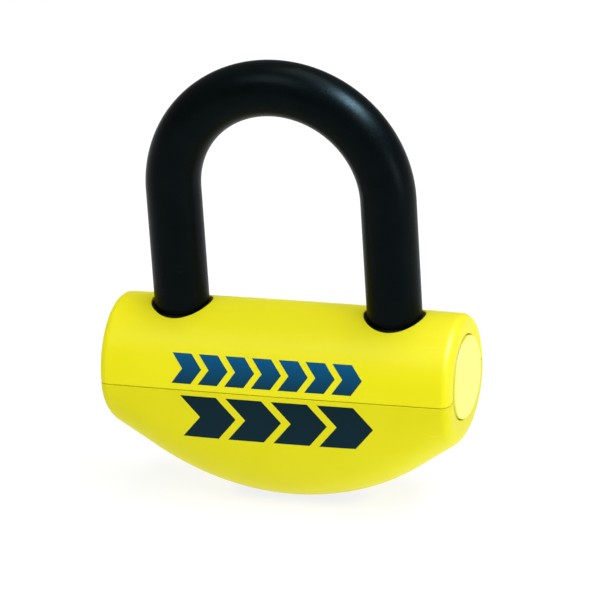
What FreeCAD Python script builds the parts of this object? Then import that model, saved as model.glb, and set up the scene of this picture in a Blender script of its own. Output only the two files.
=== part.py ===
"""Disc brake lock: a D-shaped shackle whose two legs drop into a barrel-shaped crossbar with a deep belly.

A steel tube runs the length of the barrel inside a two-part yellow cover. The lock cylinder stands upright
in the belly, with its keyway underneath behind a sliding shutter. Its core turns a scroll disc, whose two
spiral slots push one bolt into each shackle leg.

Frame: millimetres, +X along the barrel, +Z up towards the shackle, origin under the middle of the barrel at
the level of the belly's lowest point. The pieces are drawn about the barrel's axis and lifted into that
frame last. At rest the shackle is fully home, the bolts are drawn back and the shutter is closed.
"""

import FreeCAD
import Part
import math
import os

V = FreeCAD.Vector
X, Y, Z = V(1, 0, 0), V(0, 1, 0), V(0, 0, 1)

# Driving dimensions
SHACKLE_R = 8.3          # outside radius of the coated shackle
SLEEVE_WALL = 1.3        # vinyl coating on the hardened bar
LEG_SPACING = 66.5       # between the two leg axes
ARCH_Z = 56.3            # height of the arch's centre over the barrel's axis
BARREL_R = 20.7          # outside radius of the cover's barrel, at its middle
CROWN = 0.45             # how much slimmer the barrel is at its ends
HALF_LENGTH = 54.3       # half the cover's length
BELLY_DEPTH = 39.6       # lowest point of the belly under the barrel's axis
BELLY_ARC_R = 70.0       # radius of the belly's underside, seen from the front
BELLY_SLOPE = 0.70       # slope of the straight ends of that underside
CORNER_R = 7.0           # where that underside turns up into the ends
SIDE_AT_END, SIDE_GROWTH = 0.5, 0.605   # height of the belly's upright sides, against its depth
END_FILLET = 2.6
LIFT = 39.305            # from the belly's lowest point up to the barrel's axis
COVER_WALL = 2.5
SEAM_GAP = 0.24          # between the two halves of the cover
TUBE_R = 18.0            # crossbar tube, outside
TUBE_BORE = 14.0
TUBE_HALF = 50.0
BOLT_TRAVEL = 5.0        # over a quarter turn of the key
SHUTTER_TRAVEL = 9.1

# Worked out from them
LEG_X = LEG_SPACING / 2
BAR_R = SHACKLE_R - SLEEVE_WALL
LEG_INSIDE = LEG_X - BAR_R

# Shackle
LEG_FOOT_Z = -11.4
FOOT_CHAMFER = 1.4
SLEEVE_END_Z = 16.2
SLEEVE_STEP_Z = 21.6     # below here the coating is a little thinner, to enter its bush
SLEEVE_STEP = 0.3
SLEEVE_GAP = 0.02

# Bolts and the scroll disc that drives them
BOLT_LOW, BOLT_HIGH = -2.4, 5.8
BOLT_HALF_WIDTH = 5.5
BOLT_TIP = LEG_INSIDE - 0.85
BOLT_TAIL = 2.6
BOLT_CHAMFER = 0.8
NOTCH_CLEARANCE = 0.4
NOTCH_DEPTH = 4.75
PIN_R = 1.4
SLOT_HALF = 1.52
SCROLL_START = 4.8       # pin radius with the bolts drawn back
SCROLL_RATE = BOLT_TRAVEL / (math.pi / 2)
DISC_R = 12.4
DISC_LOW, DISC_HIGH = -6.0, -2.6
TAIL_HALF = 1.9          # half the side of the core's square drive

# Lock cylinder, upright in the belly
HOUSING_R = 9.8
HOUSING_LOW, HOUSING_HIGH = -33.0, -6.1
CORE_R = 7.0
CORE_BORE = 5.4
CORE_LOW, CORE_HIGH = -31.8, -7.0
KEYHOLE_R = 4.2
KEYWAY_HALF_LENGTH, KEYWAY_HALF_WIDTH = 3.7, 1.3
RUNNING = 0.1

# Escutcheon and shutter in the belly's underside
PLATE_HALF_LENGTH, PLATE_HALF_WIDTH = 21.0, 7.5
PLATE_TOP = HOUSING_LOW
RETAINER_LOW = PLATE_TOP - 1.0
SCREW_X = 17.5
SCREW_R, SCREW_HEAD_R = 1.2, 2.4
SCREW_TIP = HOUSING_LOW + 4.4
SCREW_HEAD_TOP, SCREW_HEAD_LOW = -35.0, -36.4
SHUTTER_HALF = 4.6


def cylinder(r, start, end):
    """A round bar of radius r from one point to another."""
    axis = end - start
    return Part.makeCylinder(r, axis.Length, start, axis)


def box(x0, x1, y0, y1, z0, z1):
    return Part.makeBox(x1 - x0, y1 - y0, z1 - z0, V(x0, y0, z0))


def upright(r, x, z0, z1, y=0):
    return cylinder(r, V(x, y, z0), V(x, y, z1))


def along(r, x0, x1):
    """A round bar on the barrel's axis."""
    return cylinder(r, V(x0, 0, 0), V(x1, 0, 0))


def crosswise(r, x, z, half):
    """A round bar along Y."""
    return cylinder(r, V(x, -half, z), V(x, half, z))


def edges_square_to_x(shape, x):
    """The shape's edges that lie in the plane at x."""
    return [e for e in shape.Edges if e.BoundBox.XLength < 0.01 and abs(e.BoundBox.XMin - x) < 0.01]


def obround(half_length, half_width, z0, z1):
    """A prism with round ends, long along X."""
    centre = half_length - half_width
    body = box(-centre, centre, -half_width, half_width, z0, z1)
    ends = [upright(half_width, side * centre, z0, z1) for side in (-1, 1)]
    return body.fuse(ends).removeSplitter()


# ---------------------------------------------------------------- the cover's outer form

def straight_depth(x):
    """Depth of the belly's middle arc and the straight slopes at its ends."""
    tangent_x = BELLY_ARC_R * BELLY_SLOPE / math.hypot(1, BELLY_SLOPE)
    on_arc = min(abs(x), tangent_x)
    depth = BELLY_DEPTH - BELLY_ARC_R + math.sqrt(BELLY_ARC_R ** 2 - on_arc ** 2)
    return depth - BELLY_SLOPE * (abs(x) - on_arc)


def belly_depth(x):
    """Depth of the belly under the barrel's axis, with its end corners rounded."""
    centre_x = HALF_LENGTH - CORNER_R
    steep = math.hypot(1, BELLY_SLOPE)
    if abs(x) < centre_x + CORNER_R * BELLY_SLOPE / steep:
        return straight_depth(x)
    centre_depth = straight_depth(centre_x) - CORNER_R * steep
    return centre_depth + math.sqrt(max(CORNER_R ** 2 - (abs(x) - centre_x) ** 2, 0))


def crown(x):
    return CROWN * (x / HALF_LENGTH) ** 2


def end_rounding(x):
    """How far the rounded end edge draws the barrel's radius in at x."""
    past = min(abs(x) - (HALF_LENGTH - END_FILLET), END_FILLET)
    return END_FILLET - math.sqrt(END_FILLET ** 2 - past ** 2) if past > 0 else 0


def belly_section(x, inset):
    """Upright sides and half an ellipse under the axis at x, closed by a straight line."""
    r = BARREL_R - crown(x) - max(inset, end_rounding(x))
    side = SIDE_AT_END + SIDE_GROWTH * max(straight_depth(x) - straight_depth(HALF_LENGTH), 0)
    arc = Part.Arc(V(x, -r, 0), V(x, 0, -r), V(x, r, 0)).toShape()
    stretch = FreeCAD.Matrix()
    stretch.scale(V(1, 1, (belly_depth(x) - inset - side) / r))
    stretch.move(V(0, 0, -side))
    arc = arc.transformGeometry(stretch)
    return Part.Wire([Part.makeLine(V(x, -r, 0), V(x, -r, -side)), arc,
                      Part.makeLine(V(x, r, -side), V(x, r, 0)), Part.makeLine(V(x, r, 0), V(x, -r, 0))])


def loft(places, inset):
    return Part.makeLoft([belly_section(x, inset) for x in places], True, False)


def belly_form(inset):
    """The cover's form under the barrel's axis, drawn in all round by inset."""
    corner = math.atan(BELLY_SLOPE)
    reach = HALF_LENGTH - CORNER_R + CORNER_R * math.sin(corner)
    middle = loft([reach * (k / 6 - 1) for k in range(13)], inset)
    end = HALF_LENGTH - inset
    if end <= reach + 0.5:
        return loft([end * (k / 6 - 1) for k in range(13)], inset)
    last = math.asin((end - HALF_LENGTH + CORNER_R) / CORNER_R)
    turns = [corner + (last - corner) * k / 6 for k in range(7)]
    places = [HALF_LENGTH - CORNER_R + CORNER_R * math.sin(turn) for turn in turns]
    ends = [loft(places, inset), loft([-x for x in reversed(places)], inset)]
    return middle.fuse(ends)


def barrel_form(inset):
    """The cover's form over the barrel's axis, drawn in all round by inset."""
    half, r = HALF_LENGTH - inset, BARREL_R - inset
    end_r = r - crown(half)
    bow = Part.Arc(V(-half, 0, end_r), V(0, 0, r), V(half, 0, end_r)).toShape()
    corners = [V(half, 0, end_r), V(half, 0, 0), V(-half, 0, 0), V(-half, 0, end_r)]
    sides = [Part.makeLine(a, b) for a, b in zip(corners, corners[1:])]
    bar = Part.Face(Part.Wire([bow] + sides)).revolve(V(0, 0, 0), X, 360)
    if inset < END_FILLET / 2:
        rims = [e for e in bar.Edges if e.BoundBox.XLength < 0.01 and e.BoundBox.ZLength > 1]
        bar = bar.makeFillet(END_FILLET - inset, rims)
    return bar.common(box(-half, half, -r, r, 0, r))


# ---------------------------------------------------------------- shackle

def hoop(r, z_low):
    """A U-shaped bar of radius r whose legs reach down to z_low."""
    start = Part.Face(Part.Wire(Part.makeCircle(r, V(LEG_X, 0, ARCH_Z), Z)))
    arch = start.revolve(V(0, 0, ARCH_Z), -Y, 180)
    legs = [upright(r, side * LEG_X, z_low, ARCH_Z) for side in (-1, 1)]
    return arch.fuse(legs).removeSplitter()


def shackle_bar():
    bar = hoop(BAR_R, LEG_FOOT_Z)
    feet = [e for e in bar.Edges if e.BoundBox.ZMax < LEG_FOOT_Z + 0.01]
    bar = bar.makeChamfer(FOOT_CHAMFER, feet)
    for side in (-1, 1):
        inner, outer = sorted((side * (LEG_INSIDE - 1), side * (LEG_INSIDE + NOTCH_DEPTH)))
        bar = bar.cut(box(inner, outer, -BAR_R - 1, BAR_R + 1,
                          BOLT_LOW - NOTCH_CLEARANCE, BOLT_HIGH + NOTCH_CLEARANCE))
    return bar


def shackle_sleeve():
    coat = hoop(SHACKLE_R, SLEEVE_STEP_Z)
    tail_r = SHACKLE_R - SLEEVE_STEP
    tails = [upright(tail_r, side * LEG_X, SLEEVE_END_Z, SLEEVE_STEP_Z) for side in (-1, 1)]
    return coat.fuse(tails).cut(hoop(BAR_R + SLEEVE_GAP, SLEEVE_END_Z - 1))


# ---------------------------------------------------------------- crossbar

BUSH_R = 9.4
BUSH_SUNK = 1.1          # the collar's top lies a little under the barrel's surface
SPIGOT_R = 8.9
BUSH_BORE = SHACKLE_R - SLEEVE_STEP + 0.15
BUSH_LOW_BORE = BAR_R + 0.2
BUSH_FOOT_Z = 12.6
CROSS_PIN_R = 1.5
GUIDE_PIN_X, GUIDE_PIN_Z = 16.0, 7.9
PLUG_IN = 42.8
PLUG_PIN_X = 46.4
CYLINDER_PIN_X, CYLINDER_PIN_Z = 10.6, -23.0
END_CAP_R, END_CAP_DEPTH = 14.0, 10.4   # over the barrel's axis, and under it
END_CAP_GAP = 0.3
END_CAP_PROUD = 0.7
END_CAP_FLANGE = 1.2


def cross_pins(x, z, half):
    """A pair of crosswise pins, one each side of the middle."""
    return Part.makeCompound([crosswise(CROSS_PIN_R, side * x, z, half) for side in (-1, 1)])


def crossbar_tube():
    tube = along(TUBE_R, -TUBE_HALF, TUBE_HALF).cut(along(TUBE_BORE, -TUBE_HALF - 1, TUBE_HALF + 1))
    holes = [upright(SPIGOT_R + RUNNING, side * LEG_X, 0, TUBE_R + 1) for side in (-1, 1)]
    holes.append(upright(HOUSING_R, 0, -TUBE_R - 1, 0))
    holes += cross_pins(GUIDE_PIN_X, GUIDE_PIN_Z, TUBE_R + 1).Solids
    holes += cross_pins(PLUG_PIN_X, 0, TUBE_R + 1).Solids
    return tube.cut(holes)


def end_plug(side):
    plug = along(TUBE_BORE, side * PLUG_IN, side * TUBE_HALF)
    return plug.cut(crosswise(CROSS_PIN_R, side * PLUG_PIN_X, 0, TUBE_R))


def end_outline(r, depth, x0, x1):
    """A prism along the barrel: half a circle over its axis and half an ellipse of that depth under it."""
    low = Part.Arc(V(x0, -r, 0), V(x0, 0, -r), V(x0, r, 0)).toShape()
    stretch = FreeCAD.Matrix()
    stretch.scale(V(1, 1, depth / r))
    low = low.transformGeometry(stretch)
    high = Part.Arc(V(x0, r, 0), V(x0, 0, r), V(x0, -r, 0)).toShape()
    return Part.Face(Part.Wire([low, high])).extrude(V(x1 - x0, 0, 0))


def end_cap(side):
    """A disc that shows in the cover's end, on a flange behind the cover's wall."""
    wall = HALF_LENGTH - COVER_WALL
    tip = HALF_LENGTH + END_CAP_PROUD
    disc = end_outline(END_CAP_R, END_CAP_DEPTH, side * (wall - 0.1), side * tip)
    disc = disc.makeFillet(END_CAP_PROUD * 0.8, edges_square_to_x(disc, side * tip))
    flange = end_outline(END_CAP_R + END_CAP_FLANGE, END_CAP_DEPTH + END_CAP_FLANGE,
                         side * (TUBE_HALF + 0.1), side * (wall - 0.1))
    return disc.fuse(flange).removeSplitter()


def leg_bush(side):
    """Black collar round a leg: a head sunk in the cover and a spigot in the tube."""
    x = side * LEG_X
    head = upright(BUSH_R, x, 0, BARREL_R).common(along(BARREL_R - BUSH_SUNK, x - 12, x + 12))
    head = head.cut(along(TUBE_R + 0.05, x - 13, x + 13))
    spigot = upright(SPIGOT_R, x, BUSH_FOOT_Z, TUBE_R + 0.5)
    bush = head.fuse(spigot).removeSplitter()
    bush = bush.cut(upright(BUSH_BORE, x, SLEEVE_END_Z - 0.2, BARREL_R + 1))
    return bush.cut(upright(BUSH_LOW_BORE, x, 0, BARREL_R))


def bolt_guide():
    """The block in the tube's upper half, with the channel that both bolts slide in."""
    half, top = 24.0, 9.9
    block = along(TUBE_BORE - 0.05, -half, half)
    block = block.common(box(-half, half, -TUBE_BORE, TUBE_BORE, DISC_LOW, top))
    channel = box(-half - 1, half + 1, -BOLT_HALF_WIDTH - RUNNING, BOLT_HALF_WIDTH + RUNNING,
                  BOLT_LOW - RUNNING, BOLT_HIGH + RUNNING)
    pocket = upright(DISC_R + 0.15, 0, DISC_LOW - 1, BOLT_LOW - RUNNING)
    return block.cut([channel, pocket] + cross_pins(GUIDE_PIN_X, GUIDE_PIN_Z, TUBE_R).Solids)


# ---------------------------------------------------------------- bolts and scroll disc

def bolt(side):
    near, far = sorted((side * BOLT_TAIL, side * BOLT_TIP))
    block = box(near, far, -BOLT_HALF_WIDTH, BOLT_HALF_WIDTH, BOLT_LOW, BOLT_HIGH)
    block = block.makeChamfer(BOLT_CHAMFER, edges_square_to_x(block, side * BOLT_TIP))
    return block.cut(upright(PIN_R, side * SCROLL_START, BOLT_LOW - 1, BOLT_LOW + 4))


def bolt_pin(side):
    return upright(PIN_R, side * SCROLL_START, DISC_LOW + 0.3, BOLT_LOW + 4)


def spiral_slot(turned):
    """Cutter for one spiral slot. A pin that stays on its line is moved out evenly as the disc turns."""
    lead_in, steps = 0.05, 24
    inner, outer = [], []
    for i in range(steps + 1):
        angle = -lead_in + (math.pi / 2 + 2 * lead_in) * i / steps
        r = SCROLL_START + SCROLL_RATE * angle
        direction = turned - angle
        radial = V(math.cos(direction), math.sin(direction), 0)
        along_slot = radial * SCROLL_RATE - V(-math.sin(direction), math.cos(direction), 0) * r
        normal = V(along_slot.y, -along_slot.x, 0).normalize()
        middle = radial * r + V(0, 0, DISC_LOW - 1)
        inner.append(middle - normal * SLOT_HALF)
        outer.append(middle + normal * SLOT_HALF)
    edges = []
    for points in (inner, outer):
        curve = Part.BSplineCurve()
        curve.interpolate(points)
        edges.append(curve.toShape())
    for k, outward in ((0, -1), (-1, 1)):
        across = (outer[k] - inner[k]).normalize()
        tip = (inner[k] + outer[k]) * 0.5 + V(-across.y, across.x, 0) * outward * SLOT_HALF
        edges.append(Part.Arc(inner[k], tip, outer[k]).toShape())
    outline = Part.Wire(Part.__sortEdges__(edges))
    return Part.Face(outline).extrude(V(0, 0, DISC_HIGH - DISC_LOW + 2))


def scroll_disc():
    disc = upright(DISC_R, 0, DISC_LOW, DISC_HIGH)
    socket = TAIL_HALF + 0.05
    disc = disc.cut(box(-socket, socket, -socket, socket, DISC_LOW - 1, DISC_HIGH + 1))
    return disc.cut([spiral_slot(0), spiral_slot(math.pi)])


# ---------------------------------------------------------------- lock cylinder

SIDEBAR_HALF = 0.9
SIDEBAR_LOW, SIDEBAR_HIGH = -29.4, -12.0
DISC_COUNT, DISC_PITCH, DISC_THICK = 9, 2.3, 1.9
HARD_PIN_R, HARD_PIN_CIRCLE, HARD_PIN_LENGTH = 0.8, 8.6, 12


def keyway(z0, z1):
    return box(-KEYWAY_HALF_WIDTH, KEYWAY_HALF_WIDTH, -KEYWAY_HALF_LENGTH, KEYWAY_HALF_LENGTH, z0, z1)


def hard_pins():
    """Drill-proof pins let into the cylinder's face."""
    pins = []
    for k in range(4):
        angle = math.radians(45 + 90 * k)
        x, y = HARD_PIN_CIRCLE * math.cos(angle), HARD_PIN_CIRCLE * math.sin(angle)
        pins.append(upright(HARD_PIN_R, x, HOUSING_LOW, HOUSING_LOW + HARD_PIN_LENGTH, y))
    return Part.makeCompound(pins)


def cylinder_housing():
    housing = upright(HOUSING_R, 0, HOUSING_LOW, HOUSING_HIGH)
    lip = CORE_LOW - RUNNING
    groove_half = SIDEBAR_HALF + 0.2
    cuts = [upright(CORE_R + RUNNING, 0, lip, HOUSING_HIGH + 1)]
    cuts.append(upright(KEYHOLE_R + 0.2, 0, HOUSING_LOW - 1, lip + 1))
    cuts.append(box(-groove_half, groove_half, 0, CORE_R + 0.8, SIDEBAR_LOW - 0.3, SIDEBAR_HIGH + 0.3))
    cuts += hard_pins().Solids
    cuts += cross_pins(CYLINDER_PIN_X, CYLINDER_PIN_Z, 16).Solids
    return housing.cut(cuts)


def core_ring():
    ring = upright(CORE_R + RUNNING, 0, CORE_HIGH + RUNNING, HOUSING_HIGH)
    return ring.cut(upright(TAIL_HALF * math.sqrt(2) + 0.3, 0, CORE_HIGH, HOUSING_HIGH + 1))


def core_barrel():
    """The part that the key turns: a sleeve for the discs, a front wall with the keyway, a square drive."""
    front, back = CORE_LOW + 1.2, CORE_HIGH - 2.0
    core = upright(CORE_R, 0, CORE_LOW, CORE_HIGH).cut(upright(CORE_BORE, 0, front, back))
    core = core.fuse(box(-TAIL_HALF, TAIL_HALF, -TAIL_HALF, TAIL_HALF, back, DISC_HIGH - RUNNING))
    core = core.removeSplitter().cut(keyway(CORE_LOW - 1, front + 0.1))
    return core.cut(box(0, CORE_R + 1, -SIDEBAR_HALF, SIDEBAR_HALF, SIDEBAR_LOW, SIDEBAR_HIGH))


def detainer_discs():
    discs = []
    for i in range(DISC_COUNT):
        z = CORE_LOW + 1.4 + i * DISC_PITCH
        disc = upright(CORE_BORE - RUNNING, 0, z, z + DISC_THICK)
        discs.append(disc.cut(keyway(z - 1, z + DISC_THICK + 1)))
    return Part.makeCompound(discs)


def sidebar():
    return box(CORE_BORE + 0.05, CORE_R - 0.05, -SIDEBAR_HALF + 0.05, SIDEBAR_HALF - 0.05,
               SIDEBAR_LOW + RUNNING, SIDEBAR_HIGH - RUNNING)


def cylinder_guard(inner_form):
    """The hard block round the cylinder, with two ears that the escutcheon's screws bite in."""
    guard_r = 13.0
    ear_reach, ear_half, ear_top = 19.5, 5.0, -28.0
    block = upright(guard_r, 0, HOUSING_LOW, -TUBE_BORE)
    ears = box(-ear_reach, ear_reach, -ear_half, ear_half, HOUSING_LOW, ear_top)
    block = block.fuse(ears).common(inner_form)
    holes = [along(TUBE_R, -30, 30), upright(HOUSING_R, 0, HOUSING_LOW - 1, 0)]
    holes += [upright(SCREW_R, side * SCREW_X, HOUSING_LOW - 1, SCREW_TIP + 0.1) for side in (-1, 1)]
    return block.cut(holes + cross_pins(CYLINDER_PIN_X, CYLINDER_PIN_Z, 16).Solids)


# ---------------------------------------------------------------- escutcheon and shutter

CHANNEL_LOW = RETAINER_LOW - 1.7
CHANNEL_HALF = 5.6
CHANNEL_START, CHANNEL_END = -SHUTTER_HALF - 0.3, SHUTTER_HALF + SHUTTER_TRAVEL + 0.3
WINDOW_HALF = 4.3


def shutter_retainer():
    """The thin plate that the shutter slides under, with the keyhole in it."""
    plate = obround(PLATE_HALF_LENGTH - 7, PLATE_HALF_WIDTH - 1, RETAINER_LOW, PLATE_TOP)
    return plate.cut(upright(KEYHOLE_R, 0, RETAINER_LOW - 1, PLATE_TOP + 1))


def escutcheon(outer_form):
    """The black plate in the belly's underside, with the shutter's channel and window."""
    plate = obround(PLATE_HALF_LENGTH, PLATE_HALF_WIDTH, -BELLY_DEPTH - 1, PLATE_TOP).common(outer_form)
    cuts = [obround(PLATE_HALF_LENGTH - 6.95, PLATE_HALF_WIDTH - 0.95, RETAINER_LOW, PLATE_TOP + 1)]
    cuts.append(box(CHANNEL_START, CHANNEL_END, -CHANNEL_HALF, CHANNEL_HALF, CHANNEL_LOW, RETAINER_LOW + 1))
    below = -BELLY_DEPTH - 2
    window_start, window_end = CHANNEL_START + 0.6, CHANNEL_END - 0.6
    cuts.append(box(window_start, window_end, -WINDOW_HALF, WINDOW_HALF, below, CHANNEL_LOW + 1))
    for side in (-1, 1):
        cuts.append(upright(SCREW_R + 0.2, side * SCREW_X, below, PLATE_TOP + 1))
        cuts.append(upright(SCREW_HEAD_R + 0.2, side * SCREW_X, below, SCREW_HEAD_TOP))
    return plate.cut(cuts)


def escutcheon_screws():
    """Two screws with a cross-shaped recess in their heads."""
    arm, half, deep = 1.3, 0.35, 0.8
    screws = []
    for side in (-1, 1):
        x = side * SCREW_X
        screw = upright(SCREW_HEAD_R, x, SCREW_HEAD_LOW, SCREW_HEAD_TOP)
        screw = screw.fuse(upright(SCREW_R, x, SCREW_HEAD_TOP - 0.5, SCREW_TIP)).removeSplitter()
        low, high = SCREW_HEAD_LOW - 1, SCREW_HEAD_LOW + deep
        cross = box(x - 2, x + 2, -half, half, low, high).fuse(box(x - half, x + half, -2, 2, low, high))
        cross = cross.removeSplitter().common(upright(arm, x, low, high))
        screws.append(screw.cut(cross))
    return Part.makeCompound(screws)


def keyhole_shutter():
    """A plate that slides in the channel, with a ribbed pad that shows in the window."""
    half_width = CHANNEL_HALF - 0.2
    low, high = CHANNEL_LOW + 0.15, RETAINER_LOW - 0.15
    plate = box(-SHUTTER_HALF, SHUTTER_HALF, -half_width, half_width, low, high)
    pad_low = CHANNEL_LOW - 1.3
    pad = box(-3.8, 3.8, -WINDOW_HALF + 0.3, WINDOW_HALF - 0.3, pad_low, CHANNEL_LOW + 0.5)
    ribs = [box(x - 0.35, x + 0.35, -WINDOW_HALF + 0.8, WINDOW_HALF - 0.8, pad_low - 0.45, pad_low + 0.2)
            for x in (-2.7, -0.9, 0.9, 2.7)]
    return plate.fuse([pad] + ribs).removeSplitter()


# ---------------------------------------------------------------- cover

RIB_X, RIB_HALF = (-36, -26, 26, 36), 0.8


def cover_room():
    """Clearance for the tube, and the holes in the ends that the end caps show in."""
    room = [along(TUBE_R + RUNNING, -TUBE_HALF - RUNNING, TUBE_HALF + RUNNING)]
    for side in (-1, 1):
        room.append(end_outline(END_CAP_R + END_CAP_GAP, END_CAP_DEPTH + END_CAP_GAP,
                                side * (HALF_LENGTH - COVER_WALL - 1), side * (HALF_LENGTH + 1)))
    return room


def cover_upper():
    shell = barrel_form(0).cut([barrel_form(COVER_WALL)] + cover_room())
    shell = shell.common(box(-80, 80, -80, 80, SEAM_GAP / 2, 80))
    return shell.cut([upright(BUSH_R + RUNNING, side * LEG_X, 0, BARREL_R + 5) for side in (-1, 1)])


def cover_lower():
    inner = belly_form(COVER_WALL)
    shell = belly_form(0).cut([inner] + cover_room()).common(box(-80, 80, -80, 80, -80, -SEAM_GAP / 2))
    tube = along(TUBE_R + RUNNING, -80, 80)
    for x in RIB_X:
        rib = box(x - RIB_HALF, x + RIB_HALF, -BARREL_R, BARREL_R, -BELLY_DEPTH, -8)
        shell = shell.fuse(rib.common(inner).cut(tube))
    hole = obround(PLATE_HALF_LENGTH + 0.15, PLATE_HALF_WIDTH + 0.15, -BELLY_DEPTH - 2, -TUBE_R)
    return shell.cut(hole)


# ---------------------------------------------------------------- write the parts

def main():
    os.makedirs("parts", exist_ok=True)
    parts = {
        "cover_upper": cover_upper(),
        "cover_lower": cover_lower(),
        "crossbar_tube": crossbar_tube(),
        "bolt_guide": bolt_guide(),
        "guide_pins": cross_pins(GUIDE_PIN_X, GUIDE_PIN_Z, 15.2),
        "end_plug_pins": cross_pins(PLUG_PIN_X, 0, 17.8),
        "cylinder_housing": cylinder_housing(),
        "cylinder_guard": cylinder_guard(belly_form(COVER_WALL + 0.3)),
        "cylinder_pins": cross_pins(CYLINDER_PIN_X, CYLINDER_PIN_Z, 4.6),
        "hard_pins": hard_pins(),
        "core_ring": core_ring(),
        "core_barrel": core_barrel(),
        "detainer_discs": detainer_discs(),
        "sidebar": sidebar(),
        "scroll_disc": scroll_disc(),
        "escutcheon": escutcheon(belly_form(0.1)),
        "escutcheon_screws": escutcheon_screws(),
        "shutter_retainer": shutter_retainer(),
        "keyhole_shutter": keyhole_shutter(),
        "shackle_bar": shackle_bar(),
        "shackle_sleeve": shackle_sleeve(),
    }
    for side, word in ((-1, "left"), (1, "right")):
        parts["end_plug_" + word] = end_plug(side)
        parts["end_cap_" + word] = end_cap(side)
        parts["leg_bush_" + word] = leg_bush(side)
        parts["bolt_" + word] = bolt(side)
        parts["bolt_pin_" + word] = bolt_pin(side)
    for name, shape in parts.items():
        solids = shape.Solids
        if not solids or not all(s.isValid() and s.Volume > 0 for s in solids):
            print("bad shape:", name, [(s.isValid(), round(s.Volume, 1)) for s in solids])
        shape = solids[0] if len(solids) == 1 else Part.makeCompound(solids)
        shape.translate(V(0, 0, LIFT))
        shape.exportStep(f"parts/{name}.step")
        print(f"{name:18s} {len(solids)} solids {sum(s.Volume for s in solids) / 1000:7.2f} cm3")


main()
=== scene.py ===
"""Looks of a disc brake lock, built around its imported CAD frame. Metres, +X along the barrel, +Z up."""
import math

import bmesh
import bpy
from mathutils import Matrix, Vector


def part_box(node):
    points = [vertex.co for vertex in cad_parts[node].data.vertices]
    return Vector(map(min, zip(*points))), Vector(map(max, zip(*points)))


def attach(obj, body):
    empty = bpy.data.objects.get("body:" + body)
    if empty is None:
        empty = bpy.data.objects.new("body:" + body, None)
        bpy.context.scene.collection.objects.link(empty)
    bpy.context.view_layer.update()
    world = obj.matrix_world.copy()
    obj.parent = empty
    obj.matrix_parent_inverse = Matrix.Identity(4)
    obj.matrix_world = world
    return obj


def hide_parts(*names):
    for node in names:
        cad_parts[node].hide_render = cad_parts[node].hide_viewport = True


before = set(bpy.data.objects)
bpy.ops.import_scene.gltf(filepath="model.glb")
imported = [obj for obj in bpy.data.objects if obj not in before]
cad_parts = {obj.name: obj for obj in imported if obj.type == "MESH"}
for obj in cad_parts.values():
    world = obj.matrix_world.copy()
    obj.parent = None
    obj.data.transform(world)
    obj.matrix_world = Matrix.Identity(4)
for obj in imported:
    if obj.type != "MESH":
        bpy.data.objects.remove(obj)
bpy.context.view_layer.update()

# Driving sizes of the cover, as in the CAD where nothing else is said, in metres about the barrel's axis
AXIS_Z = sum(c.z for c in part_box("crossbar_tube")) / 2
MM = 0.001
SKIN = 0.02 * MM             # the cover's surface lies this much inside, so that the print fits on it
BARREL_R = 20.7 * MM
CROWN = 0.45 * MM
HALF_LENGTH = 54.3 * MM
END_FILLET = 2.6 * MM
BELLY_DEPTH = 39.6 * MM
BELLY_ARC_R = 70 * MM
BELLY_SLOPE = 0.70
CORNER_R = 7 * MM
SIDE_AT_END, SIDE_GROWTH = 0.5 * MM, 0.605
HALF_GAP = 0.1 * MM          # half the seam's gap, a hair less than the CAD's
SEAM_ROUND = 0.3 * MM
SEAM_WALL = 1.6 * MM         # how far the seam's lips reach in
LEG_X = 33.25 * MM
LEG_HOLE_R = 9.2 * MM        # 0.3 mm less than the CAD's, so that its edge laps a hair over its bush
HOLE_ROUND = 0.35 * MM
HOLE_WALL = 2.2 * MM
CAP_HOLE_R, CAP_HOLE_DEPTH = 14.3 * MM, 10.7 * MM
CAP_LIP, CAP_WALL = 0.4 * MM, 2.0 * MM
PLATE_HALF_LENGTH, PLATE_HALF_WIDTH = 21.15 * MM, 7.65 * MM
SHELL = 0.25 * MM            # the cover's meshes are this thick; their lips and rims turn in to hide it
LEG_BLOCK = 13 * MM          # half the width of the patch that is laid out in rings round a leg's hole
PLATE_BLOCK = (27.5 * MM, 12.5 * MM)    # half the length and width of the one round the plate's hole
FLOOR_Z = -0.3 * MM

# The shackle's coat
SHACKLE_R = 8.28 * MM        # a hair inside the CAD's
ARCH_Z = 56.3 * MM
COAT_THICK = 0.08 * MM
SLEEVE_END_Z = 16.2 * MM
SLEEVE_STEP_Z = 20.05 * MM   # 1.55 mm lower than the CAD's; below it the coat is slimmer, to enter its bush
STEP_LENGTH = 0.35 * MM
TAIL_R = 8.0 * MM
TAIL_ROUND = 0.3 * MM
TAIL_FOLD = 0.7 * MM         # how far the coat's end turns in towards the bar

INK_THICK = 0.015 * MM       # the print on the cover's front

# How finely the meshes are divided
ROUND_STEPS, SIDE_STEPS = 84, 8     # half way round the barrel, and up the belly's upright side
LIP_STEPS = 4
HOLE_RINGS, RIM_STEPS = 12, 6
SHARP = 50                   # edges that turn by more than this many degrees are shaded as sharp


# ---------------------------------------------------------------- meshes

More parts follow.
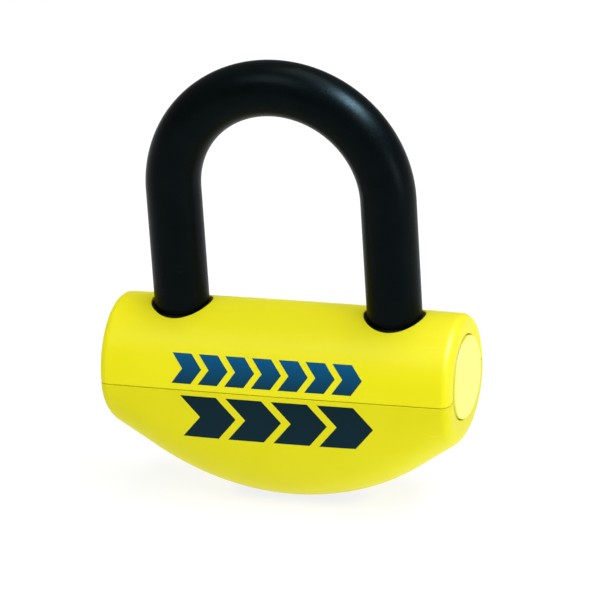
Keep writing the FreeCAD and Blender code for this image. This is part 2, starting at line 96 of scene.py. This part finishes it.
def mesh_object(name, points, faces, material, body):
    """Makes a smooth-shaded piece that rides on a body. Points are about the barrel's axis."""
    mesh = bpy.data.meshes.new(name)
    mesh.from_pydata([(p[0], p[1], p[2] + AXIS_Z) for p in points], [], faces)
    build = bmesh.new()
    build.from_mesh(mesh)
    bmesh.ops.remove_doubles(build, verts=build.verts, dist=2e-6)
    unused = [v for v in build.verts if not v.link_faces]
    bmesh.ops.delete(build, geom=unused, context="VERTS")
    bmesh.ops.recalc_face_normals(build, faces=build.faces)
    middle = Vector((0, 0, AXIS_Z))
    outward = sum(f.calc_area() * f.normal.dot(f.calc_center_median() - middle) for f in build.faces)
    if outward < 0:
        bmesh.ops.reverse_faces(build, faces=build.faces)
    build.to_mesh(mesh)
    build.free()
    mesh.shade_smooth()
    mesh.set_sharp_from_angle(angle=math.radians(SHARP))
    piece = bpy.data.objects.new(name, mesh)
    bpy.context.scene.collection.objects.link(piece)
    mesh.materials.append(material)
    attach(piece, body)
    return piece


def thicken(piece, thickness):
    """Closes an open skin into a thin shell, inwards."""
    solid = piece.modifiers.new("wall", "SOLIDIFY")
    solid.thickness = thickness
    solid.offset = -1
    graph = bpy.context.evaluated_depsgraph_get()
    mesh = bpy.data.meshes.new_from_object(piece.evaluated_get(graph))
    mesh.set_sharp_from_angle(angle=math.radians(SHARP))
    piece.modifiers.clear()
    piece.data = mesh


# ---------------------------------------------------------------- the cover's form

def crown(x):
    return CROWN * (x / HALF_LENGTH) ** 2


def straight_depth(x):
    tangent_x = BELLY_ARC_R * BELLY_SLOPE / math.hypot(1, BELLY_SLOPE)
    on_arc = min(abs(x), tangent_x)
    depth = BELLY_DEPTH - BELLY_ARC_R + math.sqrt(BELLY_ARC_R ** 2 - on_arc ** 2)
    return depth - BELLY_SLOPE * (abs(x) - on_arc)


def belly_depth(x):
    """Depth of the belly under the barrel's axis, with its end corners rounded."""
    centre_x = HALF_LENGTH - CORNER_R
    steep = math.hypot(1, BELLY_SLOPE)
    if abs(x) < centre_x + CORNER_R * BELLY_SLOPE / steep:
        return straight_depth(x) - SKIN
    centre_depth = straight_depth(centre_x) - CORNER_R * steep
    return centre_depth + math.sqrt(max(CORNER_R ** 2 - (abs(x) - centre_x) ** 2, 0)) - SKIN


def side_radius(x):
    """The barrel's radius at x, drawn in by the rounded end edge."""
    past = min(max(abs(x) - (HALF_LENGTH - END_FILLET), 0), END_FILLET)
    return BARREL_R - SKIN - crown(x) - END_FILLET + math.sqrt(END_FILLET ** 2 - past ** 2)


def side_height(x):
    return SIDE_AT_END + SIDE_GROWTH * max(straight_depth(x) - straight_depth(HALF_LENGTH), 0)


class Row:
    """One section of the cover, square to X.

    r, depth and side are its half width, its depth below the axis and the height of its upright side.
    into is the way into the wall at the seam, and back the wall's inner point there, both in plan."""

    def __init__(self, x, r, depth, side, into, back):
        self.x, self.r, self.depth, self.side, self.into, self.back = x, r, depth, side, into, back

    def mirrored(self):
        into, back = (-self.into[0], self.into[1]), (-self.back[0], self.back[1])
        return Row(-self.x, self.r, self.depth, self.side, into, back)

    def lip(self, up):
        """The rounded lip beside the front seam, from the wall's inner point out to the skin."""
        points = [(self.back[0], -self.back[1], up * HALF_GAP)]
        for k in range(LIP_STEPS + 1):
            angle = math.pi / 2 * k / LIP_STEPS
            inwards = SEAM_ROUND * (1 - math.sin(angle))
            away = HALF_GAP + SEAM_ROUND * (1 - math.cos(angle))
            x, y = self.x + self.into[0] * inwards, self.r + self.into[1] * inwards
            points.append((x, -y, up * away))
        return points

    def upper(self):
        """Points from the front seam up over the top and down to the back seam."""
        front = self.lip(1)
        first = (HALF_GAP + SEAM_ROUND) / self.r
        over = []
        for k in range(1, ROUND_STEPS):
            angle = first + (math.pi - 2 * first) * k / ROUND_STEPS
            over.append((self.x, -self.r * math.cos(angle), self.r * math.sin(angle)))
        return front + over + [(p[0], -p[1], p[2]) for p in reversed(front)]

    def lower(self):
        """Points from the front seam down round the belly and up to the back seam."""
        front = self.lip(-1)
        start = HALF_GAP + SEAM_ROUND
        side = max(self.side, start + 0.01 * MM)
        for k in range(1, SIDE_STEPS + 1):
            front.append((self.x, -self.r, -start - (side - start) * k / SIDE_STEPS))
        under = []
        for k in range(1, ROUND_STEPS):
            angle = math.pi * k / ROUND_STEPS
            drop = (self.depth - side) * math.sin(angle)
            under.append((self.x, -self.r * math.cos(angle), -side - drop))
        return front + under + [(p[0], -p[1], p[2]) for p in reversed(front)]


def skin_row(x, turned=0.0):
    """A row of the cover's outside. turned is how far round the end's rounded edge it is, in radians."""
    r = side_radius(x)
    into = (-math.sin(turned), -math.cos(turned))
    back = (x + into[0] * SEAM_WALL, r + into[1] * SEAM_WALL)
    return Row(x, r, belly_depth(x), side_height(x), into, back)


def end_rows():
    """Rows from the end's rounded edge over the flat end face and into the cap's hole."""
    start = HALF_LENGTH - END_FILLET
    turns = [math.pi / 2 * k / 10 for k in range(1, 11)]
    rows = [skin_row(start + END_FILLET * math.sin(a), a) for a in turns]
    edge = rows[-1]
    corner = (HALF_LENGTH - SEAM_WALL, CAP_HOLE_R + SEAM_WALL)
    for k in range(1, 5):
        t = k / 5
        r = edge.r + (CAP_HOLE_R + CAP_LIP - edge.r) * t
        depth = edge.depth + (CAP_HOLE_DEPTH + CAP_LIP - edge.depth) * t
        rows.append(Row(edge.x, r, depth, edge.side * (1 - t), (-1, 0), (corner[0], max(r, corner[1]))))
    for k in range(6):
        angle = math.pi / 2 * k / 5
        out = CAP_LIP * (1 - math.sin(angle))
        x = edge.x - CAP_LIP * (1 - math.cos(angle))
        into = (-math.cos(angle), math.sin(angle))
        rows.append(Row(x, CAP_HOLE_R + out, CAP_HOLE_DEPTH + out, 0, into, corner))
    x = edge.x - CAP_WALL
    rows.append(Row(x, CAP_HOLE_R, CAP_HOLE_DEPTH, 0, (0, 1), (x, corner[1])))
    return rows


def cover_rows():
    """All rows of the cover, from the left end's hole to the right end's.

    The patches round the leg holes begin and end on some of them."""
    start = HALF_LENGTH - END_FILLET
    inner, outer = LEG_X - LEG_BLOCK, LEG_X + LEG_BLOCK
    xs = [inner * k / 20 for k in range(1, 21)]
    xs += [inner + (outer - inner) * k / 26 for k in range(1, 27)]
    xs += [outer + (start - outer) * k / 5 for k in range(1, 6)]
    right = [skin_row(x) for x in xs] + end_rows()
    return [row.mirrored() for row in reversed(right)] + [skin_row(0.0)] + right


def upper_surface(x, y):
    r = side_radius(x)
    return (x, y, math.sqrt(max(r * r - y * y, 0)))


def lower_surface(x, y):
    r, side = side_radius(x), side_height(x)
    return (x, y, -side - (belly_depth(x) - side) * math.sqrt(max(1 - (y / r) ** 2, 0)))


def normal_of(surface, x, y, outward_z):
    """The surface's unit normal at a plan position, from small steps."""
    step = 0.05 * MM
    px, mx = Vector(surface(x + step, y)), Vector(surface(x - step, y))
    py, my = Vector(surface(x, y + step)), Vector(surface(x, y - step))
    normal = (px - mx).cross(py - my).normalized()
    return normal if normal.z * outward_z > 0 else -normal


def grid(sections, holes):
    """Points and faces of a grid of sections. holes are (i0, i1, j0, j1) ranges left open."""
    width = len(sections[0])
    points = [p for section in sections for p in section]
    faces = []
    for i in range(len(sections) - 1):
        for j in range(width - 1):
            if any(i0 <= i < i1 and j0 <= j < j1 for i0, i1, j0, j1 in holes):
                continue
            a = i * width + j
            faces.append((a, a + 1, a + width + 1, a + width))
    return points, faces


def ring_walk(i0, i1, j0, j1):
    """Grid positions round the edge of a block, in order."""
    walk = [(i, j0) for i in range(i0, i1)]
    walk += [(i1, j) for j in range(j0, j1)]
    walk += [(i, j1) for i in range(i1, i0, -1)]
    walk += [(i0, j) for j in range(j1, j0, -1)]
    return walk


def fill_hole(points, faces, sections, block, surface, outward_z, rim_at, centre_x):
    """Fills a block of the grid with rings that close in on a hole, rounds the hole's edge and walls it.

    rim_at(angle) gives the plan point of the hole's edge, and its inward direction, along a ray."""
    width = len(sections[0])
    walk = ring_walk(*block)
    rings = [[i * width + j for i, j in walk]]
    edges = []
    for i, j in walk:
        x, y, _ = sections[i][j]
        edges.append(rim_at(math.atan2(y, x - centre_x)))
    for k in range(1, HOLE_RINGS + 1):
        share = 1 - (1 - k / HOLE_RINGS) ** 1.4
        ring = []
        for (i, j), (rim, inward) in zip(walk, edges):
            x, y, _ = sections[i][j]
            start = (rim[0] - inward[0] * HOLE_ROUND, rim[1] - inward[1] * HOLE_ROUND)
            ring.append(len(points))
            points.append(surface(x + (start[0] - x) * share, y + (start[1] - y) * share))
        rings.append(ring)
    lasts = [Vector(points[v]) for v in rings[-1]]
    for k in range(1, RIM_STEPS + 1):
        angle = math.pi / 2 * k / RIM_STEPS
        ring = []
        for place, (_, inward) in zip(lasts, edges):
            normal = normal_of(surface, place.x, place.y, outward_z)
            across = Vector((inward[0], inward[1], 0))
            across = (across - normal * across.dot(normal)).normalized()
            place = place - normal * HOLE_ROUND
            place = place + (normal * math.cos(angle) + across * math.sin(angle)) * HOLE_ROUND
            ring.append(len(points))
            points.append(tuple(place))
        rings.append(ring)
    wall = []
    for v in rings[-1]:
        wall.append(len(points))
        points.append((points[v][0], points[v][1], points[v][2] - outward_z * HOLE_WALL))
    rings.append(wall)
    count = len(walk)
    for outer, inner in zip(rings, rings[1:]):
        for k in range(count):
            faces.append((outer[k], outer[(k + 1) % count], inner[(k + 1) % count], inner[k]))


def leg_hole_rim(angle, centre_x):
    direction = (math.cos(angle), math.sin(angle))
    rim = (centre_x + direction[0] * LEG_HOLE_R, direction[1] * LEG_HOLE_R)
    return rim, (-direction[0], -direction[1])


def nearest_row(rows, x):
    """The place in the rows of the skin's section at x."""
    return min(range(len(rows)), key=lambda i: abs(rows[i].x - x))


def across_steps(y):
    """How many points of a section reach from its middle out to y."""
    return round(ROUND_STEPS * math.asin(y / BARREL_R) / math.pi)


def cover_upper(material):
    rows = cover_rows()
    sections = [row.upper() for row in rows]
    middle = len(sections[0]) // 2
    reach = across_steps(LEG_BLOCK)
    holes = []
    for side in (-1, 1):
        ends = [nearest_row(rows, side * LEG_X + way * LEG_BLOCK) for way in (-1, 1)]
        holes.append((*ends, middle - reach, middle + reach))
    points, faces = grid(sections, holes)
    for block, side in zip(holes, (-1, 1)):
        fill_hole(points, faces, sections, block, upper_surface, 1,
                  lambda angle: leg_hole_rim(angle, side * LEG_X), side * LEG_X)
    piece = mesh_object("cover_upper_shell", points, faces, material, "crossbar")
    thicken(piece, SHELL)
    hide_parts("cover_upper")


def plate_rim(angle):
    """The edge of the escutcheon's hole along a ray from its middle."""
    direction = Vector((math.cos(angle), math.sin(angle)))
    centre = PLATE_HALF_LENGTH - PLATE_HALF_WIDTH

    def outside(reach):
        p = direction * reach
        return math.hypot(max(abs(p.x) - centre, 0), p.y) - PLATE_HALF_WIDTH

    low, high = 0.0, 2 * PLATE_HALF_LENGTH
    for _ in range(40):
        middle = (low + high) / 2
        low, high = (middle, high) if outside(middle) < 0 else (low, middle)
    p = direction * low
    near = Vector((max(min(p.x, centre), -centre), 0))
    inward = (near - p).normalized()
    return (p.x, p.y), (inward.x, inward.y)


def cover_lower(material):
    rows = cover_rows()
    sections = [row.lower() for row in rows]
    middle = len(sections[0]) // 2
    reach = across_steps(PLATE_BLOCK[1])
    ends = [nearest_row(rows, way * PLATE_BLOCK[0]) for way in (-1, 1)]
    block = (*ends, middle - reach, middle + reach)
    points, faces = grid(sections, [block])
    fill_hole(points, faces, sections, block, lower_surface, -1, plate_rim, 0)
    piece = mesh_object("cover_lower_shell", points, faces, material, "crossbar")
    thicken(piece, SHELL)
    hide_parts("cover_lower")


# ---------------------------------------------------------------- the shackle's coat

def coat_end():
    """Heights and radii of the coat from its rolled-in end up to where it is full thickness."""
    places = [(SLEEVE_END_Z, TAIL_R - TAIL_FOLD)]
    for k in range(6):
        angle = math.pi / 2 * k / 5
        height = SLEEVE_END_Z + TAIL_ROUND * (1 - math.cos(angle))
        places.append((height, TAIL_R - TAIL_ROUND * (1 - math.sin(angle))))
    for k in range(9):
        ease = (1 - math.cos(math.pi * k / 8)) / 2
        places.append((SLEEVE_STEP_Z + (k / 8 - 1) * STEP_LENGTH, TAIL_R + (SHACKLE_R - TAIL_R) * ease))
    return places


def shackle_coat(material):
    """The vinyl coat, swept round the shackle, with slimmer tails in the bushes and rolled-in ends."""
    tails = coat_end()
    path = [(Vector((-LEG_X, 0, z)), Vector((0, 0, 1)), r) for z, r in tails]
    straight, bends, around = 24, 96, 72
    for k in range(1, straight):
        z = SLEEVE_STEP_Z + (ARCH_Z - SLEEVE_STEP_Z) * k / straight
        path.append((Vector((-LEG_X, 0, z)), Vector((0, 0, 1)), SHACKLE_R))
    leg = list(path)
    for k in range(bends + 1):
        angle = math.pi * k / bends
        centre = Vector((-LEG_X * math.cos(angle), 0, ARCH_Z + LEG_X * math.sin(angle)))
        path.append((centre, Vector((math.sin(angle), 0, math.cos(angle))), SHACKLE_R))
    for place, _, r in reversed(leg):
        path.append((Vector((LEG_X, 0, place.z)), Vector((0, 0, -1)), r))
    points, faces = [], []
    for place, tangent, r in path:
        out = Vector((0, 1, 0)).cross(tangent)
        for k in range(around):
            angle = 2 * math.pi * k / around
            radial = out * math.cos(angle) + Vector((0, 1, 0)) * math.sin(angle)
            points.append(tuple(place + radial * r))
    for i in range(len(path) - 1):
        for k in range(around):
            a, b = i * around + k, i * around + (k + 1) % around
            faces.append((a, b, b + around, a + around))
    piece = mesh_object("shackle_coat", points, faces, material, "shackle")
    thicken(piece, COAT_THICK)
    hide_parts("shackle_sleeve")


# ---------------------------------------------------------------- print on the cover

def print_point(x, along_skin):
    """A point just on the cover's front. along_skin is measured up from the seam, or down if negative."""
    r = side_radius(x) + SKIN
    if along_skin >= 0:
        angle = along_skin / r
        return (x, -r * math.cos(angle), r * math.sin(angle))
    side = side_height(x)
    if -along_skin <= side:
        return (x, -r, along_skin)
    depth = belly_depth(x) + SKIN - side
    angle = (-along_skin - side) / (0.5 * (r + depth))
    for _ in range(6):
        walked = belly_arc(r, depth, angle)
        angle += (-along_skin - side - walked) / math.hypot(r * math.sin(angle), depth * math.cos(angle))
    return (x, -r * math.cos(angle), -side - depth * math.sin(angle))


def belly_arc(r, depth, angle, steps=24):
    """Length of the belly's ellipse from its side down to an angle."""
    total, last = 0.0, (r, 0.0)
    for k in range(1, steps + 1):
        a = angle * k / steps
        here = (r * math.cos(a), depth * math.sin(a))
        total += math.hypot(here[0] - last[0], here[1] - last[1])
        last = here
    return total


def chevrons(name, material, first_x, pitch, wide, low, high, lean, count):
    """A row of plain chevrons pointing along +X, laid on the cover's front.

    Each is wide along X, and its point stands out by lean. low and high are measured along the skin."""
    points, faces = [], []
    across, up = 10, 20
    for c in range(count):
        start = len(points)
        for i in range(up + 1):
            v = i / up
            bend = lean * (1 - abs(2 * v - 1))
            for j in range(across + 1):
                x = first_x + pitch * c + wide * j / across + bend
                points.append(print_point(x, low + (high - low) * v))
        for i in range(up):
            for j in range(across):
                a = start + i * (across + 1) + j
                faces.append((a, a + 1, a + across + 2, a + across + 1))
    piece = mesh_object(name, points, faces, material, "crossbar")
    thicken(piece, INK_THICK)


# ---------------------------------------------------------------- materials

def node(tree, kind, **inputs):
    made = tree.nodes.new(kind)
    for key, value in inputs.items():
        made.inputs[key.replace("_", " ")].default_value = value
    return made


def ramp(tree, source, stops):
    made = tree.nodes.new("ShaderNodeValToRGB")
    tree.links.new(source, made.inputs[0])
    elements = made.color_ramp.elements
    while len(elements) < len(stops):
        elements.new(0.5)
    for element, (place, colour) in zip(elements, stops):
        element.position = place
        element.color = (*colour, 1)
    return made.outputs["Color"]


def grey_ramp(tree, source, low, high, low_value, high_value):
    return ramp(tree, source, [(low, (low_value,) * 3), (high, (high_value,) * 3)])


def noise(tree, scale, detail=4, stretch=(1, 1, 1), rough=0.5):
    """Noise in the object's own coordinates. scale is in features to the metre."""
    place = tree.nodes.new("ShaderNodeTexCoord")
    turn = tree.nodes.new("ShaderNodeMapping")
    turn.inputs["Scale"].default_value = stretch
    tree.links.new(place.outputs["Object"], turn.inputs["Vector"])
    made = node(tree, "ShaderNodeTexNoise", Scale=scale, Detail=detail, Roughness=rough)
    tree.links.new(turn.outputs["Vector"], made.inputs["Vector"])
    return made.outputs["Fac"]


def scuffs(tree):
    """Sparse fine streaks, where one noise drawn out along X crosses patches of another."""
    streaks = grey_ramp(tree, noise(tree, 500, 2, (0.25, 1, 1.6)), 0.66, 0.74, 0.0, 1.0)
    patches = grey_ramp(tree, noise(tree, 70, 2), 0.52, 0.7, 0.0, 0.5)
    both = node(tree, "ShaderNodeMath")
    both.operation = "MULTIPLY"
    tree.links.new(streaks, both.inputs[0])
    tree.links.new(patches, both.inputs[1])
    return both.outputs[0]


def mix(tree, share, first, second_colour):
    """Mixes a socket's colour towards a plain colour."""
    made = tree.nodes.new("ShaderNodeMix")
    made.data_type = "RGBA"
    made.inputs["B"].default_value = (*second_colour, 1)
    tree.links.new(share, made.inputs["Factor"])
    tree.links.new(first, made.inputs["A"])
    return made.outputs["Result"]


def material(name, colours, rough, bump, scale, metallic=0.0, shine=0.5, stretch=(1, 1, 1), fine=1600,
             scuff=None, sheen_tint=(1, 1, 1)):
    """Mottled colour and roughness, with a coarse and a fine bump.

    colours are two stops, rough is (low, high) and bump (coarse, fine) in metres. scale and fine are the
    two noises' features to the metre. shine is the specular level and sheen_tint its colour. scuff is the
    colour of sparse worn streaks."""
    made = bpy.data.materials.new(name)
    made.use_nodes = True
    tree = made.node_tree
    shader = tree.nodes["Principled BSDF"]
    shader.inputs["Metallic"].default_value = metallic
    shader.inputs["Specular IOR Level"].default_value = shine
    shader.inputs["Specular Tint"].default_value = (*sheen_tint, 1)
    broad = noise(tree, scale, 5, stretch)
    small = noise(tree, fine, 3, stretch, 0.6)
    colour = ramp(tree, broad, [(0.3, colours[0]), (0.7, colours[1])])
    dull = grey_ramp(tree, small, 0.3, 0.75, *rough)
    if scuff:
        worn = scuffs(tree)
        colour = mix(tree, worn, colour, scuff)
        dull = mix(tree, worn, dull, (rough[1] + 0.2,) * 3)
    tree.links.new(colour, shader.inputs["Base Color"])
    tree.links.new(dull, shader.inputs["Roughness"])
    low = node(tree, "ShaderNodeBump", Strength=1.0, Distance=bump[0])
    tree.links.new(broad, low.inputs["Height"])
    high = node(tree, "ShaderNodeBump", Strength=1.0, Distance=bump[1])
    tree.links.new(small, high.inputs["Height"])
    tree.links.new(low.outputs["Normal"], high.inputs["Normal"])
    tree.links.new(high.outputs["Normal"], shader.inputs["Normal"])
    return made


def printed(name, top, bottom, z_low, z_high):
    """Slightly worn ink that fades between two colours over a range of heights about the axis."""
    made = material(name, (top, top), (0.3, 0.42), (0.00001, 0.000004), 90, shine=0.03)
    tree = made.node_tree
    shader = tree.nodes["Principled BSDF"]
    place = tree.nodes.new("ShaderNodeTexCoord")
    split = tree.nodes.new("ShaderNodeSeparateXYZ")
    tree.links.new(place.outputs["Object"], split.inputs[0])
    span = tree.nodes.new("ShaderNodeMapRange")
    span.inputs["From Min"].default_value = AXIS_Z + z_low
    span.inputs["From Max"].default_value = AXIS_Z + z_high
    tree.links.new(split.outputs["Z"], span.inputs["Value"])
    colour = ramp(tree, span.outputs["Result"], [(0.0, bottom), (1.0, top)])
    tree.links.new(colour, shader.inputs["Base Color"])
    return made


def paint(names, made):
    """Gives CAD nodes a material."""
    for name in names:
        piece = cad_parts[name]
        piece.data.materials.clear()
        piece.data.materials.append(made)


# ---------------------------------------------------------------- camera, light and floor

def add_camera():
    """A long lens at the product shot's angle, with a slight tilt of the horizon."""
    azimuth, elevation, roll = math.radians(18.96), math.radians(22.74), math.radians(-3.73)
    distance, focal = 1.252, 250.8
    back = Vector((math.sin(azimuth) * math.cos(elevation), -math.cos(azimuth) * math.cos(elevation),
                   math.sin(elevation)))
    level = Vector((math.cos(azimuth), math.sin(azimuth), 0))
    upright = back.cross(level)
    right = level * math.cos(roll) + upright * math.sin(roll)
    up = upright * math.cos(roll) - level * math.sin(roll)
    target = Vector((0, 0, AXIS_Z)) + right * 0.00246 + up * 0.0207
    data = bpy.data.cameras.new("camera")
    data.sensor_width = 36
    data.lens = focal
    data.clip_end = 20
    camera = bpy.data.objects.new("camera", data)
    bpy.context.scene.collection.objects.link(camera)
    turn = Matrix((right, up, back)).transposed().to_4x4()
    camera.matrix_world = Matrix.Translation(target + back * distance) @ turn
    bpy.context.scene.camera = camera


def add_light(name, place, aim, size, power, colour=(1, 1, 1), glossy_only=False):
    """A rectangular light that the camera can't see. glossy_only leaves just its reflections."""
    data = bpy.data.lights.new(name, "AREA")
    data.shape = "RECTANGLE"
    data.size, data.size_y = size
    data.energy = power
    data.color = colour
    light = bpy.data.objects.new(name, data)
    bpy.context.scene.collection.objects.link(light)
    direction = Vector(aim) - Vector(place)
    light.rotation_euler = direction.to_track_quat("-Z", "Y").to_euler()
    light.location = place
    light.visible_diffuse = not glossy_only
    light.visible_camera = False


def add_world(strength):
    world = bpy.data.worlds.new("studio")
    world.use_nodes = True
    background = world.node_tree.nodes["Background"]
    background.inputs["Color"].default_value = (1, 1, 1, 1)
    background.inputs["Strength"].default_value = strength
    bpy.context.scene.world = world


def add_floor():
    """A wide, round, white floor just under the lock."""
    count, r = 96, 4.0
    points = [(0, 0, FLOOR_Z)]
    for k in range(count):
        angle = math.tau * k / count
        points.append((r * math.cos(angle), r * math.sin(angle), FLOOR_Z))
    faces = [(0, 1 + k, 1 + (k + 1) % count) for k in range(count)]
    mesh = bpy.data.meshes.new("floor")
    mesh.from_pydata(points, [], faces)
    floor = bpy.data.objects.new("floor", mesh)
    bpy.context.scene.collection.objects.link(floor)
    paper = material("paper", ((0.15, 0.15, 0.15), (0.16, 0.16, 0.16)), (0.7, 0.85),
                     (0.00002, 0.00001), 3)
    shader = paper.node_tree.nodes["Principled BSDF"]
    shader.inputs["Emission Color"].default_value = (1, 1, 1, 1)
    shader.inputs["Emission Strength"].default_value = 0.84
    mesh.materials.append(paper)


# ---------------------------------------------------------------- the lock

yellow = material("moulded_yellow", ((0.83, 0.765, 0.004), (0.86, 0.80, 0.008)), (0.38, 0.5),
                  (0.00003, 0.000008), 55, shine=0.12, scuff=(0.88, 0.86, 0.10))
vinyl = material("black_vinyl_coat", ((0.001, 0.0022, 0.0024), (0.002, 0.0036, 0.004)), (0.26, 0.4),
                 (0.00003, 0.00003), 110, shine=0.035, fine=1700, scuff=(0.008, 0.011, 0.013),
                 sheen_tint=(0.72, 0.93, 1.0))
# Painted shade: the lower cover gets a darker copy of the same yellow, standing in for the shade that falls
# on the lock's lower half.
painted_shade_yellow = material("lower_yellow_painted_shade", ((0.75, 0.69, 0.004), (0.775, 0.715, 0.008)), (0.38, 0.5),
                        (0.00003, 0.000008), 55, shine=0.1, scuff=(0.84, 0.82, 0.10))
# Both end caps are paler than the cover: partly the caps' own tone, partly a painted highlight standing in
# for the glare on the brightly lit right end face.
glare_yellow = material("cap_yellow_painted_glare", ((0.85, 0.815, 0.13), (0.88, 0.845, 0.17)), (0.36, 0.48),
                (0.00003, 0.000008), 55, shine=0.3, scuff=(0.9, 0.88, 0.3))
rubber = material("black_bush", ((0.0015, 0.0015, 0.0015), (0.003, 0.003, 0.003)), (0.55, 0.7),
                  (0.00002, 0.00001), 300, shine=0.1)
black = material("black_plate", ((0.012, 0.012, 0.013), (0.018, 0.018, 0.019)), (0.4, 0.55),
                 (0.00002, 0.00002), 200, shine=0.4, scuff=(0.05, 0.05, 0.05))
steel = material("ground_steel", ((0.46, 0.46, 0.47), (0.56, 0.56, 0.57)), (0.22, 0.4),
                 (0.000003, 0.000004), 160, metallic=1.0, stretch=(1, 1, 0.12), scuff=(0.3, 0.3, 0.3))
plain = material("turned_steel", ((0.34, 0.34, 0.35), (0.44, 0.44, 0.45)), (0.32, 0.5),
                 (0.000003, 0.000005), 120, metallic=1.0, stretch=(0.15, 1, 1), scuff=(0.25, 0.25, 0.25))
nickel = material("nickel_plate", ((0.58, 0.57, 0.55), (0.66, 0.65, 0.63)), (0.15, 0.28),
                  (0.000002, 0.000002), 140, metallic=1.0, scuff=(0.45, 0.44, 0.42))
brass = material("machined_brass", ((0.68, 0.47, 0.17), (0.78, 0.56, 0.24)), (0.2, 0.35),
                 (0.000003, 0.000003), 160, metallic=1.0, scuff=(0.5, 0.33, 0.12))
blue_ink = printed("blue_ink", (0.0045, 0.094, 0.225), (0.0055, 0.041, 0.072), 2 * MM, 11.5 * MM)
navy_ink = printed("navy_ink", (0.0045, 0.019, 0.0265), (0.0055, 0.0225, 0.033), -16 * MM, -2 * MM)

cover_upper(yellow)
cover_lower(painted_shade_yellow)
shackle_coat(vinyl)
chevrons("print_row_upper", blue_ink, first_x=-31 * MM, pitch=8.3 * MM, wide=6.0 * MM,
         low=2.2 * MM, high=11.4 * MM, lean=3.4 * MM, count=7)
chevrons("print_row_lower", navy_ink, first_x=-28.5 * MM, pitch=14.2 * MM, wide=11.2 * MM,
         low=-15.0 * MM, high=-1.6 * MM, lean=5.8 * MM, count=4)

paint(["end_cap_left", "end_cap_right"], glare_yellow)
paint(["leg_bush_left", "leg_bush_right"], rubber)
paint(["escutcheon", "keyhole_shutter"], black)
paint(["shackle_bar", "bolt_left", "bolt_right", "bolt_pin_left", "bolt_pin_right", "end_plug_pins",
       "guide_pins", "cylinder_pins", "hard_pins", "scroll_disc", "escutcheon_screws"], steel)
paint(["crossbar_tube", "end_plug_left", "end_plug_right", "bolt_guide", "cylinder_guard",
       "shutter_retainer"], plain)
paint(["cylinder_housing", "core_ring"], nickel)
paint(["core_barrel", "detainer_discs", "sidebar"], brass)

add_camera()
add_world(0.3)
add_light("key", (0.61, -0.37, 0.72), (0, 0, 0.06), (0.3, 0.3), 1.9, (0.93, 0.98, 1.0))
add_light("top", (-0.2, -0.45, 0.85), (0, 0, 0.05), (0.4, 0.4), 3.0)
add_light("overhead", (0.1, 0.25, 1.0), (0, 0, 0.05), (0.5, 0.5), 4.2)
add_light("side", (0.9, -0.25, 0.12), (0.05, 0, 0.04), (0.3, 0.3), 2.6)
add_light("warm", (-0.8, -0.5, 0.2), (0, 0, 0.04), (0.5, 0.5), 0.1, (1, 0.7, 0.4))
add_light("sheen_right", (0.63, -0.02, 0.91), (0, 0, 0.08), (0.52, 0.24), 73, (0.62, 0.86, 1.0),
          glossy_only=True)
add_light("sheen_top", (-0.28, -0.45, 0.85), (0, 0, 0.08), (0.3, 0.3), 0.9, (0.85, 0.95, 1.0),
          glossy_only=True)
add_floor()
bpy.context.scene.view_settings.view_transform = "Standard"
